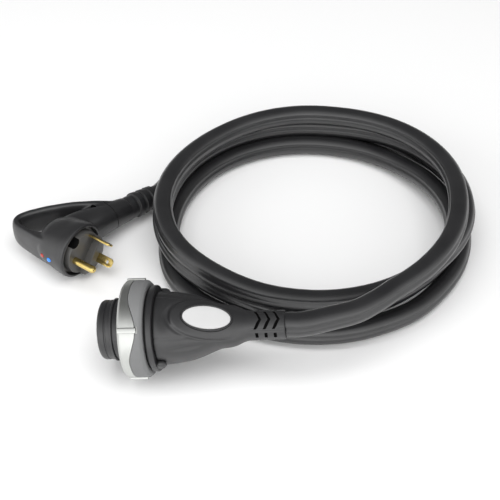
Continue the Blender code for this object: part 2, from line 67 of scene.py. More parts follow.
CONN = frame_at((NOSE_X, 0, AXIS_Z), (-PITCH, 'Y'), (ROLL, 'X'))
PLUG = frame_at(FACE_AT, (FACE_AZ, 'Z'))
NECK_DIR = Vector((math.cos(math.radians(NECK_TURN)), math.sin(math.radians(NECK_TURN)), 0))
NECK_SIDE = Vector((NECK_DIR.y, -NECK_DIR.x, 0))
NECK_BASE = Vector((-24.5, 2.0, 0.0))
BOOT_FOOT = NECK_BASE + NECK_DIR * BOOT_AT + Vector((0, 0, -8.8))
BOOT = (PLUG @ Matrix.Translation(BOOT_FOOT) @ Matrix.Rotation(math.radians(NECK_TURN), 4, 'Z')
        @ Matrix.Rotation(math.radians(BOOT_SINK), 4, 'Y'))
WORLD = Matrix.Scale(MM, 4)
ACROSS, UP = Vector((0, 1, 0)), Vector((0, 0, 1))


# ------------------------------------------------------------------ materials
def shader(name, colour, rough, metal=0.0, spec=0.5, coat=0.0, coat_rough=0.1):
    """a Principled material; returns it with its nodes, its links and the shader"""
    mat = bpy.data.materials.new(name)
    mat.use_nodes = True
    nodes, links = mat.node_tree.nodes, mat.node_tree.links
    main = nodes['Principled BSDF']
    main.inputs['Base Color'].default_value = (*colour, 1)
    main.inputs['Roughness'].default_value = rough
    main.inputs['Metallic'].default_value = metal
    main.inputs['Specular IOR Level'].default_value = spec
    main.inputs['Coat Weight'].default_value = coat
    main.inputs['Coat Roughness'].default_value = coat_rough
    return mat, nodes, links, main


def noise(nodes, links, scale, detail=3.0, rough=0.5, stretch=None):
    """noise in the object's own coordinates; stretch squeezes it along the axes"""
    coords = nodes.new('ShaderNodeTexCoord')
    tex = nodes.new('ShaderNodeTexNoise')
    tex.inputs['Scale'].default_value = scale
    tex.inputs['Detail'].default_value = detail
    tex.inputs['Roughness'].default_value = rough
    if stretch:
        mapping = nodes.new('ShaderNodeMapping')
        mapping.inputs['Scale'].default_value = stretch
        links.new(coords.outputs['Object'], mapping.inputs['Vector'])
        links.new(mapping.outputs['Vector'], tex.inputs['Vector'])
    else:
        links.new(coords.outputs['Object'], tex.inputs['Vector'])
    return tex


def vary(nodes, links, main, tex, socket, low, high):
    """a number on the shader follows a noise between two values"""
    span = nodes.new('ShaderNodeMapRange')
    span.inputs['From Min'].default_value = 0.3
    span.inputs['From Max'].default_value = 0.7
    span.inputs['To Min'].default_value = low
    span.inputs['To Max'].default_value = high
    links.new(tex.outputs['Fac'], span.inputs['Value'])
    links.new(span.outputs['Result'], main.inputs[socket])


def tint(nodes, links, main, tex, dark, light):
    """the colour follows a noise between two colours"""
    ramp = nodes.new('ShaderNodeValToRGB')
    ramp.color_ramp.elements[0].position = 0.32
    ramp.color_ramp.elements[0].color = (*dark, 1)
    ramp.color_ramp.elements[1].position = 0.68
    ramp.color_ramp.elements[1].color = (*light, 1)
    links.new(tex.outputs['Fac'], ramp.inputs['Fac'])
    links.new(ramp.outputs['Color'], main.inputs['Base Color'])


def bump(nodes, links, main, tex, depth, strength=0.5, below=None):
    """raises the surface by a texture; below is a bump node that this one adds to"""
    node = nodes.new('ShaderNodeBump')
    node.inputs['Strength'].default_value = strength
    node.inputs['Distance'].default_value = depth
    links.new(tex.outputs['Fac'], node.inputs['Height'])
    if below:
        links.new(below.outputs['Normal'], node.inputs['Normal'])
    links.new(node.outputs['Normal'], main.inputs['Normal'])
    return node


def moulded(name, dark, light, rough, spec=0.5, grain=0.00004, coat=0.0):
    """moulded plastic or rubber: fine spark-eroded grain, slow colour drift, uneven polish"""
    mat, nodes, links, main = shader(name, light, rough[1], spec=spec, coat=coat)
    tint(nodes, links, main, noise(nodes, links, 34.0), dark, light)
    vary(nodes, links, main, noise(nodes, links, 90.0, 4.0), 'Roughness', *rough)
    coarse = bump(nodes, links, main, noise(nodes, links, 700.0, 2.0), grain * 2, 0.25)
    bump(nodes, links, main, noise(nodes, links, 3200.0, 2.0), grain, 0.35, coarse)
    return mat


def plated(name, dark, light, rough, lines=(1.0, 1.0, 1.0)):
    """metal with fine drawn lines and patches of slightly different polish"""
    mat, nodes, links, main = shader(name, light, rough[1], metal=1.0)
    tint(nodes, links, main, noise(nodes, links, 120.0), dark, light)
    vary(nodes, links, main, noise(nodes, links, 260.0, 3.0, stretch=lines), 'Roughness', *rough)
    bump(nodes, links, main, noise(nodes, links, 1800.0, 2.0, stretch=lines), 0.00002, 0.3)
    return mat


def lamp_lens(name, colour, glow):
    mat, nodes, links, main = shader(name, colour, 0.12, coat=0.5)
    main.inputs['Emission Color'].default_value = (*colour, 1)
    main.inputs['Emission Strength'].default_value = glow
    tint(nodes, links, main, noise(nodes, links, 500.0), [c * 0.75 for c in colour], colour)
    return mat


LOOKS = {
    'shell_black': moulded('shell_black', (0.012, 0.012, 0.013), (0.018, 0.018, 0.019), (0.32, 0.42), 0.8),
    'grip_black': moulded('grip_black', (0.012, 0.012, 0.013), (0.018, 0.018, 0.019), (0.35, 0.46), 0.8),
    'cord_black': moulded('cord_black', (0.010, 0.010, 0.011), (0.016, 0.016, 0.017), (0.28, 0.36), 0.8,
                          0.00003),
    # recess_black is painted shade: a darker, matte copy of the black plastic for the walls of cut-in
    # recesses, where shade falls
    'recess_black': moulded('recess_black', (0.003, 0.003, 0.003), (0.005, 0.005, 0.005), (0.75, 0.85), 0.1),
    'ring_silver': plated('ring_silver', (0.56, 0.57, 0.55), (0.60, 0.61, 0.59), (0.34, 0.40)),
    'ring_grey': moulded('ring_grey', (0.165, 0.167, 0.168), (0.185, 0.187, 0.188), (0.50, 0.60), 0.3),
    'badge_white': moulded('badge_white', (0.50, 0.50, 0.50), (0.54, 0.54, 0.54), (0.30, 0.36), 0.4,
                           0.00001),
    'carrier_grey': moulded('carrier_grey', (0.060, 0.059, 0.057), (0.080, 0.078, 0.075), (0.32, 0.42)),
    'brass': plated('brass', (0.66, 0.49, 0.16), (0.78, 0.61, 0.24), (0.16, 0.28)),
    'steel': plated('steel', (0.46, 0.46, 0.46), (0.60, 0.60, 0.60), (0.24, 0.38)),
    'red_lamp': lamp_lens('red_lamp', (0.38, 0.025, 0.015), 0.1),
    'blue_lamp': lamp_lens('blue_lamp', (0.02, 0.20, 0.80), 0.7),
    'hot_wire': moulded('hot_wire', (0.02, 0.02, 0.02), (0.03, 0.03, 0.03), (0.4, 0.5)),
    'neutral_wire': moulded('neutral_wire', (0.70, 0.70, 0.68), (0.78, 0.78, 0.76), (0.4, 0.5)),
    'ground_wire': moulded('ground_wire', (0.04, 0.26, 0.08), (0.05, 0.32, 0.10), (0.4, 0.5)),
}


# ------------------------------------------------------------------ mesh tools, in local millimetres
def piece(name, bm, matrix, look, body=BODY, sharp=38.0):
    """a bmesh in local millimetres becomes a finished piece that rides on a body"""
    bmesh.ops.remove_doubles(bm, verts=bm.verts[:], dist=1e-4)
    bmesh.ops.recalc_face_normals(bm, faces=bm.faces[:])
    bmesh.ops.transform(bm, matrix=matrix, verts=bm.verts[:])
    mesh = bpy.data.meshes.new(name)
    bm.to_mesh(mesh)
    bm.free()
    mesh.shade_smooth()
    mesh.set_sharp_from_angle(angle=math.radians(sharp))
    mesh.materials.append(LOOKS[look])
    ob = bpy.data.objects.new(name, mesh)
    bpy.context.scene.collection.objects.link(ob)
    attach(ob, body)
    return ob


def turned(profile, steps=128):
    """profile of (s, r) spun about the local X axis; it is closed unless it starts on the axis"""
    bm = bmesh.new()
    verts = [bm.verts.new((s, 0, r)) for s, r in profile]
    edges = [bm.edges.new(pair) for pair in zip(verts, verts[1:])]
    if profile[0][1] > 0:
        edges.append(bm.edges.new((verts[-1], verts[0])))
    bmesh.ops.spin(bm, geom=verts + edges, cent=(0, 0, 0), axis=(1, 0, 0), dvec=(0, 0, 0),
                   angle=2 * math.pi, steps=steps, use_merge=True)
    return bm


def rounded(profile, radius, steps=4):
    """rounds the corners of a closed (s, r) profile with arcs of about that radius"""
    out = []
    count = len(profile)
    for i, corner in enumerate(profile):
        here = Vector(corner)
        before, after = Vector(profile[i - 1]), Vector(profile[(i + 1) % count])
        if here.y < 1e-6:
            out.append(tuple(here))
            continue
        reach = min(radius, 0.45 * (before - here).length, 0.45 * (after - here).length)
        start = here + (before - here).normalized() * reach
        end = here + (after - here).normalized() * reach
        for k in range(steps + 1):
            t = k / steps
            out.append(tuple(start * (1 - t) ** 2 + here * (2 * t * (1 - t)) + end * t * t))
    return out


def lofted(rings, looped=False):
    """closed skin through rings of equal point counts, capped at both ends or run back to the first ring"""
    bm = bmesh.new()
    loops = [[bm.verts.new(p) for p in ring] for ring in rings]
    count = len(loops[0])
    for a, b in zip(loops, loops[1:] + loops[:1] if looped else loops[1:]):
        for k in range(count):
            bm.faces.new((a[k], a[(k + 1) % count], b[(k + 1) % count], b[k]))
    if not looped:
        bm.faces.new(loops[0][::-1])
        bm.faces.new(loops[-1])
    return bm


def extruded(outline, low, high, along_x=False):
    """flat outline extruded along Z, or along X when the outline is (y, z)"""
    bm = bmesh.new()
    face = bm.faces.new([bm.verts.new((low, *p) if along_x else (*p, low)) for p in outline])
    made = bmesh.ops.extrude_face_region(bm, geom=[face])
    moved = [v for v in made['geom'] if isinstance(v, bmesh.types.BMVert)]
    bmesh.ops.translate(bm, vec=(high - low, 0, 0) if along_x else (0, 0, high - low), verts=moved)
    return bm


def wrapped(outline, low, high, middle):
    """outline of (s, arc) wrapped round the local X axis between two radii, centred on an angle"""
    rings = []
    for radius in (low, high):
        turns = [middle + math.degrees(arc / low) for _, arc in outline]
        rings.append([(s, *polar(radius, turn)) for (s, _), turn in zip(outline, turns)])
    return lofted(rings)


def rod(start, end, radius, sides=32):
    start, end = Vector(start), Vector(end)
    turn = (end - start).to_track_quat('Z', 'Y').to_matrix().to_4x4()
    bm = bmesh.new()
    bmesh.ops.create_cone(bm, cap_ends=True, segments=sides, radius1=radius, radius2=radius,
                          depth=(end - start).length, matrix=Matrix.Translation((start + end) / 2) @ turn)
    return bm


def block(low, high, turn_x=0.0, soften=0.0):
    low, high = Vector(low), Vector(high)
    place = Matrix.Translation((low + high) / 2) @ Matrix.Diagonal((*(high - low), 1.0))
    bm = bmesh.new()
    bmesh.ops.create_cube(bm, size=1.0, matrix=place)
    if soften:
        bmesh.ops.bevel(bm, geom=bm.edges[:], offset=soften, segments=3, profile=0.5, affect='EDGES')
    turn = Matrix.Rotation(math.radians(turn_x), 3, 'X')
    bmesh.ops.rotate(bm, cent=(0, 0, 0), matrix=turn, verts=bm.verts[:])
    return bm


def polar(radius, angle):
    """(y, z) across the connector's axis, angle in degrees from the badge towards the near side"""
    return -radius * math.sin(math.radians(angle)), radius * math.cos(math.radians(angle))


def section(centre, across, up, half_w, half_h, count=64, power=2.2):
    """superellipse ring; power 2 is an ellipse, more is squarer"""
    ring = []
    for k in range(count):
        c, s = math.cos(2 * math.pi * k / count), math.sin(2 * math.pi * k / count)
        q = (abs(c) ** power + abs(s) ** power) ** (-1.0 / power)
        ring.append(Vector(centre) + across * (half_w * q * c) + up * (half_h * q * s))
    return ring


def oval(half_a, half_b, count=96):
    turns = [2 * math.pi * k / count for k in range(count)]
    return [(half_a * math.cos(t), half_b * math.sin(t)) for t in turns]


def between(a, b, c, d, t):
    """Catmull-Rom: a point from b at t = 0 to c at t = 1, with a and d as the neighbours"""
    bend = 2 * a - 5 * b + 4 * c - d
    return 0.5 * (2 * b + (c - a) * t + bend * t * t + (3 * b - a - 3 * c + d) * t ** 3)


def smooth_rows(rows, at):
    """rows of numbers as a smooth curve, read at a position from 0 to len(rows) - 1"""
    i = min(int(at), len(rows) - 2)
    t = at - i
    last = len(rows) - 1
    picked = [rows[max(0, i - 1)], rows[i], rows[i + 1], rows[min(last, i + 2)]]
    return [between(a, b, c, d, t) for a, b, c, d in zip(*picked)]


def refined(rows, per_step):
    count = (len(rows) - 1) * per_step
    return [smooth_rows(rows, k / per_step) for k in range(count + 1)]


def smooth_path(points, step):
    """evenly spaced points on a Catmull-Rom curve through given ones"""
    p = [Vector(q) for q in points]
    p = [p[0] * 2 - p[1]] + p + [p[-1] * 2 - p[-2]]
    fine = []
    for a, b, c, d in zip(p, p[1:], p[2:], p[3:]):
        for k in range(24):
            fine.append(between(a, b, c, d, k / 24.0))
    fine.append(p[-2])
    run = [0.0]
    for a, b in zip(fine, fine[1:]):
        run.append(run[-1] + (b - a).length)
    count = max(2, round(run[-1] / step))
    even = []
    j = 0
    for k in range(count + 1):
        want = run[-1] * k / count
        while j < len(run) - 2 and run[j + 1] < want:
            j += 1
        even.append(fine[j].lerp(fine[j + 1], (want - run[j]) / (run[j + 1] - run[j])))
    return even


def cutter(bm, matrix, slot=0):
    """a guide mesh for a Boolean, removed once it has cut; its faces get the piece's material in that slot"""
    bmesh.ops.remove_doubles(bm, verts=bm.verts[:], dist=1e-4)
    bmesh.ops.recalc_face_normals(bm, faces=bm.faces[:])
    bmesh.ops.transform(bm, matrix=matrix, verts=bm.verts[:])
    for face in bm.faces:
        face.material_index = slot
    mesh = bpy.data.meshes.new('guide')
    bm.to_mesh(mesh)
    bm.free()
    ob = bpy.data.objects.new('guide', mesh)
    bpy.context.scene.collection.objects.link(ob)
    return ob


def settle(ob):
    """the modifiers' result becomes the mesh"""
    graph = bpy.context.evaluated_depsgraph_get()
    mesh = bpy.data.meshes.new_from_object(ob.evaluated_get(graph))
    ob.modifiers.clear()
    ob.data = mesh


def combine(ob, guides, operation='DIFFERENCE', sharp=38.0):
    for guide in guides:
        mod = ob.modifiers.new('cut', 'BOOLEAN')
        mod.operation = operation
        mod.solver = 'EXACT'
        mod.object = guide
    settle(ob)
    for guide in guides:
        bpy.data.objects.remove(guide, do_unlink=True)
    ob.data.shade_smooth()
    ob.data.set_sharp_from_angle(angle=math.radians(sharp))


# ------------------------------------------------------------------ camera, floor and light
AIM = Vector((0.0346, 0.1383, 0.0))
CAM_AZ, CAM_EL, CAM_DIST, LENS = 4.3, 43.6, 1.037, 82.8
DARK_SIDE = (0.0, 0.75, 0.66)   # where the studio is darkest: behind and above


def camera():
    az, el = math.radians(CAM_AZ), math.radians(CAM_EL)
    back = Vector((math.sin(az) * math.cos(el), -math.cos(az) * math.cos(el), math.sin(el)))
    cam = bpy.data.objects.new('camera', bpy.data.cameras.new('camera'))
    bpy.context.scene.collection.objects.link(cam)
    cam.data.lens = LENS
    cam.data.sensor_width = 36.0
    cam.location = AIM + back * CAM_DIST
    cam.rotation_mode = 'QUATERNION'
    cam.rotation_quaternion = (-back).to_track_quat('-Z', 'Y')
    bpy.context.scene.camera = cam


def floor():
    bm = bmesh.new()
    bmesh.ops.create_grid(bm, x_segments=1, y_segments=1, size=6.0)
    mesh = bpy.data.meshes.new('floor')
    bm.to_mesh(mesh)
    bm.free()
    mat, nodes, links, main = shader('floor_white', (0.93, 0.93, 0.93), 0.22, spec=0.35)
    mesh.materials.append(mat)
    ob = bpy.data.objects.new('floor', mesh)
    ob.location.z = -0.0004
    bpy.context.scene.collection.objects.link(ob)


def area_light(name, place, aim, size, power):
    data = bpy.data.lights.new(name, 'AREA')
    data.shape = 'RECTANGLE'
    data.size, data.size_y = size
    data.energy = power
    ob = bpy.data.objects.new(name, data)
    ob.location = place
    ob.rotation_mode = 'QUATERNION'
    ob.rotation_quaternion = (Vector(aim) - Vector(place)).to_track_quat('-Z', 'Y')
    ob.visible_glossy = False
    bpy.context.scene.collection.objects.link(ob)


def light():
    """white studio in front, grey behind and above; a wide soft box over the front lights the floor"""
    bpy.context.scene.view_settings.view_transform = 'Standard'
    world = bpy.data.worlds.new('studio')
    bpy.context.scene.world = world
    world.use_nodes = True
    nodes, links = world.node_tree.nodes, world.node_tree.links
    coords = nodes.new('ShaderNodeTexCoord')
    facing = nodes.new('ShaderNodeVectorMath')
    facing.operation = 'DOT_PRODUCT'
    facing.inputs[1].default_value = DARK_SIDE
    shade = nodes.new('ShaderNodeValToRGB')
    for element, (position, value) in zip(shade.color_ramp.elements, ((0.30, 1.0), (0.78, 0.09))):
        element.position = position
        element.color = (value, value, value, 1)
    half = nodes.new('ShaderNodeMapRange')
    half.inputs['From Min'].default_value = -1.0
    links.new(coords.outputs['Generated'], facing.inputs[0])
    links.new(facing.outputs['Value'], half.inputs['Value'])
    links.new(half.outputs['Result'], shade.inputs['Fac'])
    links.new(shade.outputs['Color'], nodes['Background'].inputs['Color'])
    nodes['Background'].inputs['Strength'].default_value = 2.0
    middle = (0.03, 0.14, 0.0)
    area_light('top', (0.05, -0.15, 1.5), middle, (1.5, 1.1), 17.0)
    area_light('left', (-1.2, -0.3, 0.7), middle, (0.9, 0.8), 3.0)


# ------------------------------------------------------------------ cord
def on_coil(angle, radius, height):
    """angle in degrees, anticlockwise from the near side"""
    a = math.radians(angle)
    return Vector((COIL_X + radius * math.sin(a), COIL_Y - radius * math.cos(a), height))


# angle, radius and height of the cord's middle where a turn changes: laid down by hand, so no two are alike
TURNS = [(8, 150, 56.5), (22, 140.5, 57), (34, 132.5, 57.3), (60, 128.5, 59.2), (90, 126, 58.7),
         (135, 129.5, 50), (180, 132, 41.8), (225, 129.5, 42), (270, 132.8, 43.8), (290, 131.2, 44.5),
         (315, 124.3, 43.8), (340, 115, 37.5), (360, 110.5, 34.5), (375, 112, 35.5), (390, 115.5, 37.5),
         (420, 124, 41.2), (435, 129.8, 41.7), (450, 134, 42), (495, 138, 33), (540, 136.5, 24.3),
         (585, 137.5, 25), (630, 134.5, 26.3), (650, 130.5, 26.8), (675, 121.2, 25.8), (690, 114.2, 21.6),
         (700, 110, 17), (706, 107.5, 13.3), (720, 105.5, 9.8), (735, 106.8, 13), (750, 109.5, 19.5),
         (780, 117, 24), (810, 126.5, 25.4), (840, 125.5, 20), (855, 125.6, 15.5), (870, 126.5, 12),
         (900, 127, 9.5), (945, 128.5, 9.5), (990, 127.8, 9.5), (1022, 133.5, 9.5), (1050, 127.8, 9.5),
         (1080, 124.4, 9.5), (1109, 125, 9.5), (1123, 127.5, 9.5), (1140, 129, 9.5), (1152, 131.5, 9.5),
         (1170, 134.8, 9.5), (1200, 140, 9.5), (1215, 142.8, 9.5), (1230, 144.5, 9.5), (1260, 146, 9.5),
         (1311, 146.4, 9.6), (1318, 147, 9.6), (1326, 148.4, 9.8)]


def turns_at(angle):
    """radius and height of the coil at an angle, by a monotone cubic between the rows of TURNS"""
    j = max(i for i in range(len(TURNS) - 1) if TURNS[i][0] <= angle + 1e-9)
    (a0, *v0), (a1, *v1) = TURNS[j], TURNS[j + 1]
    t = (angle - a0) / (a1 - a0)
    values = []
    for k in range(2):
        def slope(i):
            if i == 0 or i == len(TURNS) - 1:
                return 0.0
            left = (TURNS[i][k + 1] - TURNS[i - 1][k + 1]) / (TURNS[i][0] - TURNS[i - 1][0])
            right = (TURNS[i + 1][k + 1] - TURNS[i][k + 1]) / (TURNS[i + 1][0] - TURNS[i][0])
            return 0.0 if left * right <= 0 else 2 * left * right / (left + right)
        m0, m1 = slope(j) * (a1 - a0), slope(j + 1) * (a1 - a0)
        values.append((2 * t ** 3 - 3 * t * t + 1) * v0[k] + (t ** 3 - 2 * t * t + t) * m0
                      + (3 * t * t - 2 * t ** 3) * v1[k] + (t ** 3 - t * t) * m1)
    return values


def cord_route():
    lead = [CONN @ Vector((s, 0, 0)) / MM for s in (CORD_S0, 116.0, CONN_LEN, CONN_LEN + 14.0)]
    tail = [BOOT @ Vector((s, 0, 0)) / MM for s in (BOOT_LEN + 9.0, BOOT_LEN - 2.0, 2.0)]
    first, last = TURNS[0][0], TURNS[-1][0]
    count = round((last - first) / 7.5)
    angles = [first + (last - first) * k / count for k in range(count + 1)]
    coil = [on_coil(a, *turns_at(a)) for a in angles]
    return smooth_path(lead + coil + tail, 3.0)


def jacket_section(count=40):
    """the jacket's outline: a little taller than wide, with a shallow valley along each side"""
    outline = []
    for k in range(count):
        a = 2 * math.pi * k / count
        c, s = math.cos(a), math.sin(a)
        x, y = CORD_W / 2 * c, CORD_H / 2 * s
        lift = math.degrees(math.atan2(s, abs(c))) - 18.0
        valley = 1.0 * math.exp(-(lift / 7.5) ** 2)
        length = math.hypot(x, y)
        outline.append((x * (1 - valley / length), y * (1 - valley / length)))
    return outline


def cord():
    path = cord_route()
    outline = jacket_section()
    rings = []
    run = 0.0
    for i, here in enumerate(path):
        ahead = (path[min(i + 1, len(path) - 1)] - path[max(i - 1, 0)]).normalized()
        side = ahead.cross(UP).normalized()
        lift = side.cross(ahead)
        run += (here - path[i - 1]).length if i else 0.0
        thick = max(0.0, min(1.0, (SWELL_END - run) / SWELL_RUN))
        swell = 0.9 if run < SLEEVE_RUN else 1.0 + 0.10 * thick
        rings.append([here + side * (x * swell) + lift * (y * swell) for x, y in outline])
    ob = piece('cord', lofted(rings), WORLD, 'cord_black', sharp=60.0)
    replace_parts(ob, 'cord_lead', 'cord_coil', 'cord_tail')
    length = sum((b - a).length for a, b in zip(path, path[1:])) * MM
    return ob, [tuple(p * MM) for p in path], length


# ------------------------------------------------------------------ connector
NOSE_R, NOSE_BORE, LIP_S, LIP_R = 23.7, 20.6, 11.6, 25.0
RING_S0, RING_S1, RING_R, RING_BORE, EDGE_STEP = 20.0, 39.8, 38.8, 33.6, 1.6
RIB_COUNT, RIB_AT, RIB_H, RIB_W = 4, 22.0, 1.3, 4.4
WAVE_S, WAVE_H, NECK_R = 27.6, 7.0, 31.0
COLLAR_S0, COLLAR_S1, COLLAR_R = 41.0, 46.0, 34.3
SLEEVE_BORE = 9.2
CHEVRON_AT, CHEVRON_STEP, CHEVRON_COUNT = 122.2, 7.2, 3
BADGE_S, BADGE_R, BADGE_A, BADGE_B, BADGE_LEAN = 87.0, 20.3, 18.9, 9.4, 17.5
BADGE = CONN @ Matrix.Translation((BADGE_S, 0, BADGE_R)) @ Matrix.Rotation(math.radians(BADGE_LEAN), 4, 'Y')


def nose():
    shell = [(0.0, NOSE_BORE), (0.0, NOSE_R - 2.6), (0.8, NOSE_R - 0.9), (2.6, NOSE_R), (5.8, NOSE_R),
             (6.2, NOSE_R - 0.6), (7.2, NOSE_R - 0.6), (7.6, NOSE_R), (52.0, NOSE_R), (52.0, 8.0),
             (47.0, 8.0), (47.0, NOSE_BORE)]
    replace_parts(piece('nose_barrel', turned(rounded(shell, 0.4)), CONN, 'shell_black'), 'nose_shell')
    front, back = LIP_S - 0.9, LIP_S + 1.2
    lip = [(front, NOSE_R + 0.3), (front, LIP_R - 0.5), (front + 0.5, LIP_R), (back - 0.5, LIP_R),
           (back, LIP_R - 0.5), (back, NOSE_R + 0.3)]
    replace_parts(piece('nose_seal', turned(rounded(lip, 0.3)), CONN, 'shell_black'), 'nose_lip')


def collar():
    rib = COLLAR_R - 0.8
    ob = piece('ribbed_collar', turned(rounded([
        (COLLAR_S0 - 4.4, NOSE_R + 0.3), (COLLAR_S0 - 4.4, NECK_R), (COLLAR_S0, NECK_R), (COLLAR_S0, rib),
        (COLLAR_S0 + 0.8, COLLAR_R), (COLLAR_S1 - 0.9, COLLAR_R), (COLLAR_S1, rib - 0.2),
        (COLLAR_S1, NOSE_R + 0.3)], 0.5)), CONN, 'shell_black')
    along = Vector((1, 0, 0))
    lugs = []
    for angle in (90.0, 270.0):
        outward = Vector((0, *polar(1.0, angle)))
        foot = along * (COLLAR_S1 + 2.2)
        rows = refined([(29.2, 4.8), (30.8, 4.8), (32.2, 4.0), (32.9, 2.7), (33.1, 1.2)], 4)
        rings = [section(foot + outward * r, along, outward.cross(along), half, half, 40, 2.0)
                 for r, half in rows]
        lugs.append(cutter(lofted(rings), CONN))
    combine(ob, lugs, 'UNION')
    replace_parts(ob, 'collar')


def waved(bm, reach=1.0):
    """bend the edge drawn at WAVE_S so that it swings back at every other rib"""
    for v in bm.verts:
        if abs(v.co.x - WAVE_S) < reach:
            angle = math.degrees(math.atan2(-v.co.y, v.co.z))
            from_rib = (angle - RIB_AT + 90.0) % 180.0 - 90.0
            swing = 0.5 * (1 + math.cos(math.radians(4 * from_rib))) if abs(from_rib) < 45.0 else 0.0
            v.co.x += WAVE_H * swing
    return bm


def locking_ring():
    step_r = RING_R - EDGE_STEP
    shell = piece('ring_front', waved(turned(rounded([
        (RING_S0, RING_BORE + 0.8), (RING_S0, RING_R - 2.2), (RING_S0 + 2.2, RING_R), (WAVE_S, RING_R),
        (WAVE_S, step_r), (RING_S1 - 3.0, step_r), (RING_S1 - 3.0, RING_BORE + 2.0),
        (RING_S0 + 1.0, RING_BORE + 2.0)], 0.8, 5), 192)), CONN, 'ring_silver', RING)
    grip = piece('ring_band', waved(turned(rounded([
        (WAVE_S + 0.15, step_r + 0.1), (WAVE_S + 0.15, RING_R - 0.15), (RING_S1 - 2.2, RING_R - 0.3),
        (RING_S1, RING_R - 2.4), (RING_S1, NECK_R + 1.0), (RING_S1 - 2.7, NECK_R + 1.0),
        (RING_S1 - 2.7, step_r + 0.1)], 0.9, 5), 192)), CONN, 'ring_grey', RING)
    end, half = RING_S0 + 15.8, RIB_W / 2
    ribs, rooms = [], []
    for i in range(RIB_COUNT):
        angle = RIB_AT + i * 360.0 / RIB_COUNT
        rib = block((RING_S0 + 0.9, -half, RING_R - 1.4), (end, half, RING_R + RIB_H), angle, 0.7)
        room = block((RING_S0, -half - 0.45, step_r), (end + 0.9, half + 0.45, RING_R + 2), angle)
        ribs.append(cutter(rib, CONN))
        rooms.append(cutter(room, CONN))
    combine(shell, ribs, 'UNION')
    combine(grip, rooms)
    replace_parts(shell, 'ring_shell')
    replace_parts(grip, 'ring_grip')


def hump(value, middle, reach):
    """1 at the middle, smoothly 0 beyond the reach"""
    t = min(1.0, abs(value - middle) / reach)
    return (1 - t * t) ** 2


def edge(value, at, width):
    """0 before the edge, 1 after it, smooth over the width"""
    t = max(0.0, min(1.0, (value - at) / width + 0.5))
    return t * t * (3 - 2 * t)


BODY_ROWS = [(46.3, 28.2, 28.0), (46.9, 28.7, 28.4), (52.0, 28.5, 28.1), (58.0, 28.1, 27.1),
             (66.0, 27.2, 25.5), (74.0, 25.6, 23.8), (81.0, 23.2, 22.0), (88.0, 20.3, 19.6),
             (95.0, 17.6, 16.8), (101.0, 15.8, 14.9),
             (107.0, 14.2, 13.3), (112.0, 12.6, 12.1), (116.0, 11.8, 11.7), (124.0, 11.5, 11.5),
             (136.0, 11.5, 11.5), (144.6, 11.4, 11.5), (146.2, 11.1, 11.2), (146.5, 10.7, 10.8)]


def body_relief(s, angle, radius):
    """how far the grip's skin stands off its plain shape: a pad round the badge, a dish, creases, a dent"""
    arc = radius * math.radians(angle)
    oval_at = math.hypot((s - 88.0) / 29.0, arc / 17.0)
    lift = 1.1 * (1 - edge(oval_at, 1.0, 0.13)) * (1 - edge(s, 104.0, 14.0))
    lift -= 0.7 * hump(oval_at, 1.09, 0.10) * (1 - edge(s, 98.0, 10.0))
    lift -= 1.7 * hump(math.hypot((s - 54.5) / 7.0, arc / 17.0), 0.0, 1.0)
    side = abs(angle)
    crease_at = 37.0 if s > 100 else 38.5
    crease = 0.55 if s > 108 or s < 72 else 0.15
    lift -= crease * hump(side, crease_at, 5.0 if s < 90 else 9.0) * edge(oval_at, 1.1, 0.2)
    lift -= 1.3 * hump(math.hypot((s - 71.0) / 18.5, (side - 58.0) / 8.0), 0.0, 1.0)
    lift += 1.6 * hump(s, 106.0, 13.0) * edge(side, 60.0, 30.0)
    return lift


def grip():
    """grip body and cord sleeve in one moulding, hollow, with the badge's seat, chevrons and slots cut in"""
    rings = []
    start, stop, count = BODY_ROWS[0][0], BODY_ROWS[-1][0], 150
    for i in range(count + 1):
        s = start + (stop - start) * i / count
        j = max(k for k in range(len(BODY_ROWS) - 1) if BODY_ROWS[k][0] <= s + 1e-9)
        a0, a1 = BODY_ROWS[j], BODY_ROWS[j + 1]
        t = (s - a0[0]) / (a1[0] - a0[0])
        _, half_w, half_h = smooth_rows(BODY_ROWS, j + min(1.0, t))
        ring = []
        for point in section((0, 0, 0), ACROSS, UP, half_w, half_h, 200, 2.15):
            angle = math.degrees(math.atan2(-point.y, point.z))
            radius = point.length
            ring.append(Vector((s, 0, 0)) + point * (1 + body_relief(s, angle, radius) / radius))
        rings.append(ring)
    body = piece('grip_moulding', lofted(rings), CONN, 'grip_black', sharp=50.0)
    # painted shade: the cut walls of the chevrons and slots get recess_black, darker than the moulding
    body.data.materials.append(LOOKS['recess_black'])
    hollow = [(40.0, 0), (40.0, NOSE_R + 0.5), (52.4, NOSE_R + 0.5), (52.4, 20.0), (66.0, 18.0), (80.0, 14.6),
              (96.0, 12.8), (96.0, SLEEVE_BORE), (160.0, SLEEVE_BORE), (160.0, 0)]
    guides = [cutter(turned(hollow, 96), CONN),
              cutter(extruded(oval(BADGE_A + 1.7, BADGE_B + 1.7), -3.2, 12.0), BADGE)]
    arm, width, point = 6.9, 2.2, 4.2
    for i in range(CHEVRON_COUNT):
        s = CHEVRON_AT + CHEVRON_STEP * i
        chevron = [(s, -arm), (s + width, -arm), (s + width + point, 0), (s + width, arm), (s, arm),
                   (s + point, 0)]
        for middle in (-3.0, 177.0):
            guides.append(cutter(wrapped(chevron, 9.9, 14.0, middle), CONN, 1))
        for angle in (64.0, 116.0, 244.0, 296.0):
            slot = block((s + 1.2, -2.6, 9.6), (s + 1.4 + width, 2.6, 14.0), angle, 0.4)
            guides.append(cutter(slot, CONN, 1))
    combine(body, guides, sharp=50.0)
    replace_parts(body, 'grip_body', 'strain_relief')


